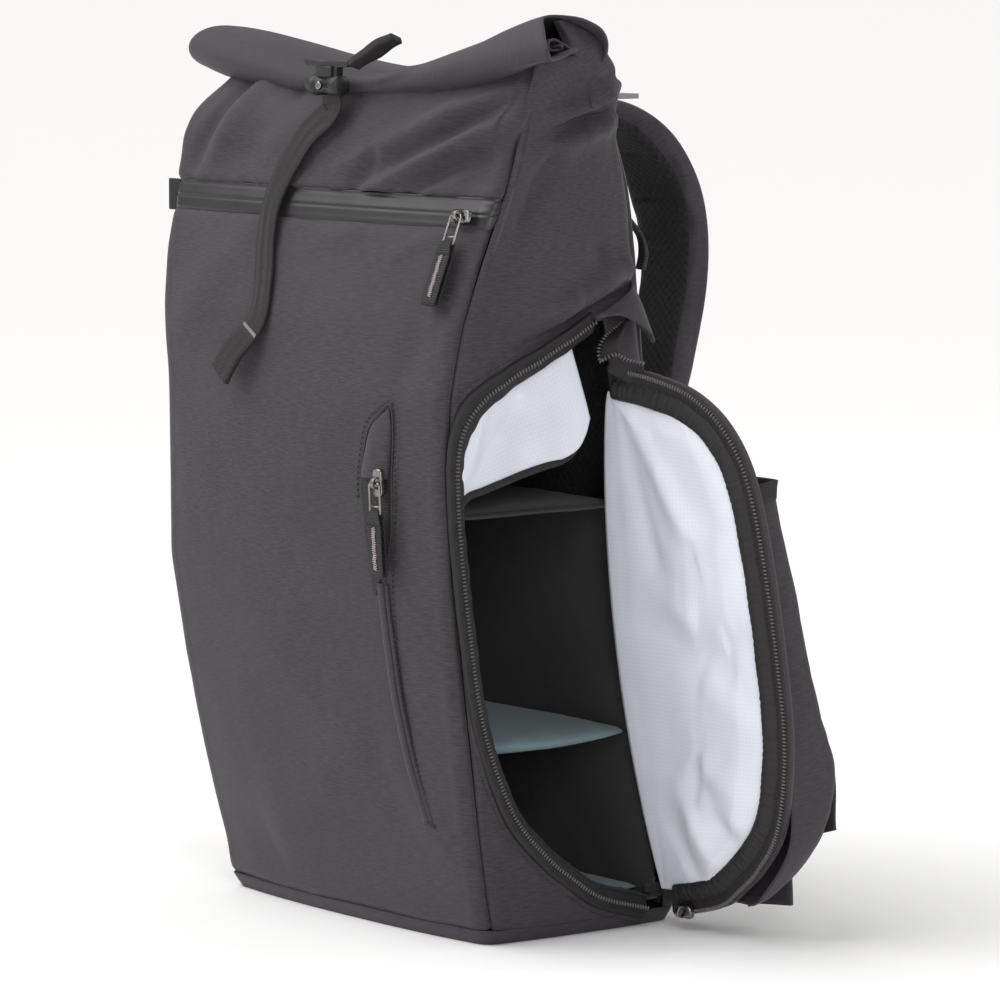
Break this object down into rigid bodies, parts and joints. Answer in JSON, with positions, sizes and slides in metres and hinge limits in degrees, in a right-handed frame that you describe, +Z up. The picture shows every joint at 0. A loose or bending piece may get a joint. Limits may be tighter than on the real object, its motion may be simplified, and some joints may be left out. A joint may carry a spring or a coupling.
{
  "type": "camera backpack",
  "caption": "Roll-top camera backpack with an open side door, a padded divided insert, front zips, hook closure and padded shoulder straps.",
  "frame": {"origin": "on the floor under the middle of the flat base", "axes": "+Z up, -Y towards the front panel, +Y towards the wearer's back, +X towards the side with the door"},
  "size_m": [0.4956, 0.2517, 0.5428],
  "materials": {
    "cloth": "coarse woven nylon, slightly purple grey",
    "lining": "thin white ripstop",
    "binding": "dark woven binding",
    "zip": "coated zip tape with a coil",
    "webbing": "herringbone webbing",
    "insert": "brushed padded black",
    "divider": "brushed padded blue grey",
    "metal": "dark nickel",
    "plastic": "moulded"
  },
  "bodies": {
    "pack": {"front_panel": "cloth", "upper_front_panel": "cloth", "back_panel": "cloth", "side_panel_left": "cloth", "side_panel_right": "cloth", "base_panel": "cloth", "roll_top": "cloth", "front_zip_tape": "zip", "pocket_zip_tape": "zip", "opening_zip_tape": "zip", "door_panel": "cloth", "door_lining": "lining", "door_binding": "binding", "door_zip_tape": "zip", "door_pocket": "cloth", "insert_box": "insert", "insert_shelf": "divider", "insert_floor_pad": "divider", "upper_lining": "lining", "front_zip_slider": "metal", "pocket_zip_slider": "metal", "front_zip_end_tab": "webbing", "door_zip_slider": "metal", "back_pull_tag": "webbing", "closure_strap": "webbing", "hook_buckle": "plastic", "hook_pin": "metal", "hook_loop": "webbing", "shoulder_strap_right": "cloth", "ladder_lock_right": "plastic", "lower_wing_right": "cloth", "strap_webbing_right": "webbing", "strap_tail_right": "webbing", "lifter_plate_right": "plastic", "load_lifter_right": "webbing", "shoulder_strap_left": "cloth", "ladder_lock_left": "plastic", "lower_wing_left": "cloth", "strap_webbing_left": "webbing", "strap_tail_left": "webbing", "lifter_plate_left": "plastic", "load_lifter_left": "webbing"},
    "front_zip_pull_body": {"front_zip_pull": "metal", "front_zip_pull_tag": "webbing"},
    "pocket_zip_pull_body": {"pocket_zip_pull": "metal", "pocket_zip_pull_tag": "webbing"}
  },
  "joints": [
    {"name": "front_zip_pull_swing", "type": "hinge", "parent": "pack", "child": "front_zip_pull_body", "pos_m": [0.12006, -0.08826, 0.427], "axis": [-1, 0, 0], "range_deg": [0, 100]},
    {"name": "pocket_zip_pull_swing", "type": "hinge", "parent": "pack", "child": "pocket_zip_pull_body", "pos_m": [0.08846, -0.12424, 0.27172], "axis": [-1, 0, 0], "range_deg": [0, 100]}
  ]
}
